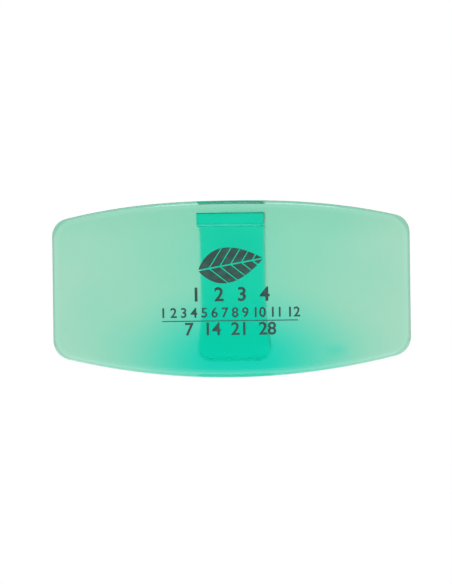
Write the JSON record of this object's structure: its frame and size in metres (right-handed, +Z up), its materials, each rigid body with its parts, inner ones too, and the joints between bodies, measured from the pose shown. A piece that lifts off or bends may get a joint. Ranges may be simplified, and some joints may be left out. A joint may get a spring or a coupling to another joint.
{
  "type": "clip-on toilet rim deodorizer",
  "caption": "Wide bowed panel of see-through scented EVA with arched long edges and rounded corners, hung over a rim by a strap hook moulded on its back that widens towards its tail.",
  "frame": {"origin": "middle of the hook's flat underside, where it sits on the rim", "axes": "+X to the right along the panel, +Y back from the panel towards the hook's leg, +Z up; the printed front faces -Y"},
  "size_m": [0.112, 0.025, 0.0552],
  "materials": {
    "eva": "see-through mint-green EVA with a soft satin skin, deeper teal where it is thick",
    "ink": "thin dark grey-green pad print"
  },
  "bodies": {
    "root": {"bowl_clip": "eva"}
  },
  "joints": []
}
